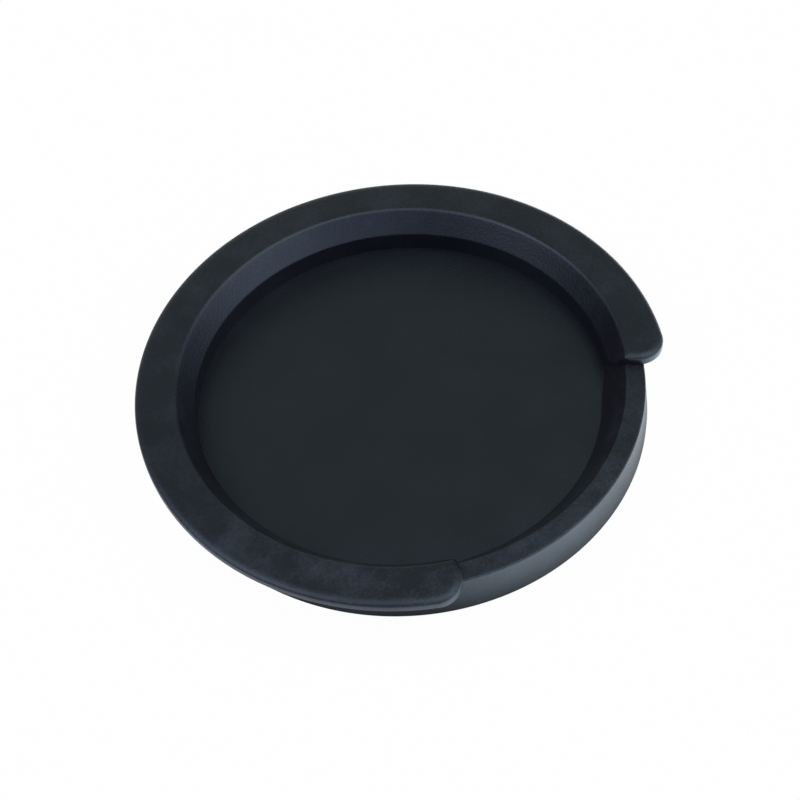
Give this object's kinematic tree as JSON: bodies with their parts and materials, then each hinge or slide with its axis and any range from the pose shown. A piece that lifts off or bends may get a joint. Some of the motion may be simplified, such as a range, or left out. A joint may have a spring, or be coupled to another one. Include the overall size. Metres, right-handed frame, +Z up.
{
  "type": "sound hole cover",
  "caption": "Shallow round dish of soft black rubber that plugs a guitar's sound hole. Its flange rests on the soundboard and is left off over a notch for the end of the fretboard.",
  "frame": {"origin": "centre of the flat bottom face of the dish, on the axis of its round wall", "axes": "+Z up along the axis of the wall, from the bottom face towards the flange; the notch faces -Y"},
  "size_m": [0.11, 0.1059, 0.0118],
  "materials": {
    "rubber": "matt moulded black"
  },
  "bodies": {
    "root": {"cover": "rubber"}
  },
  "joints": []
}
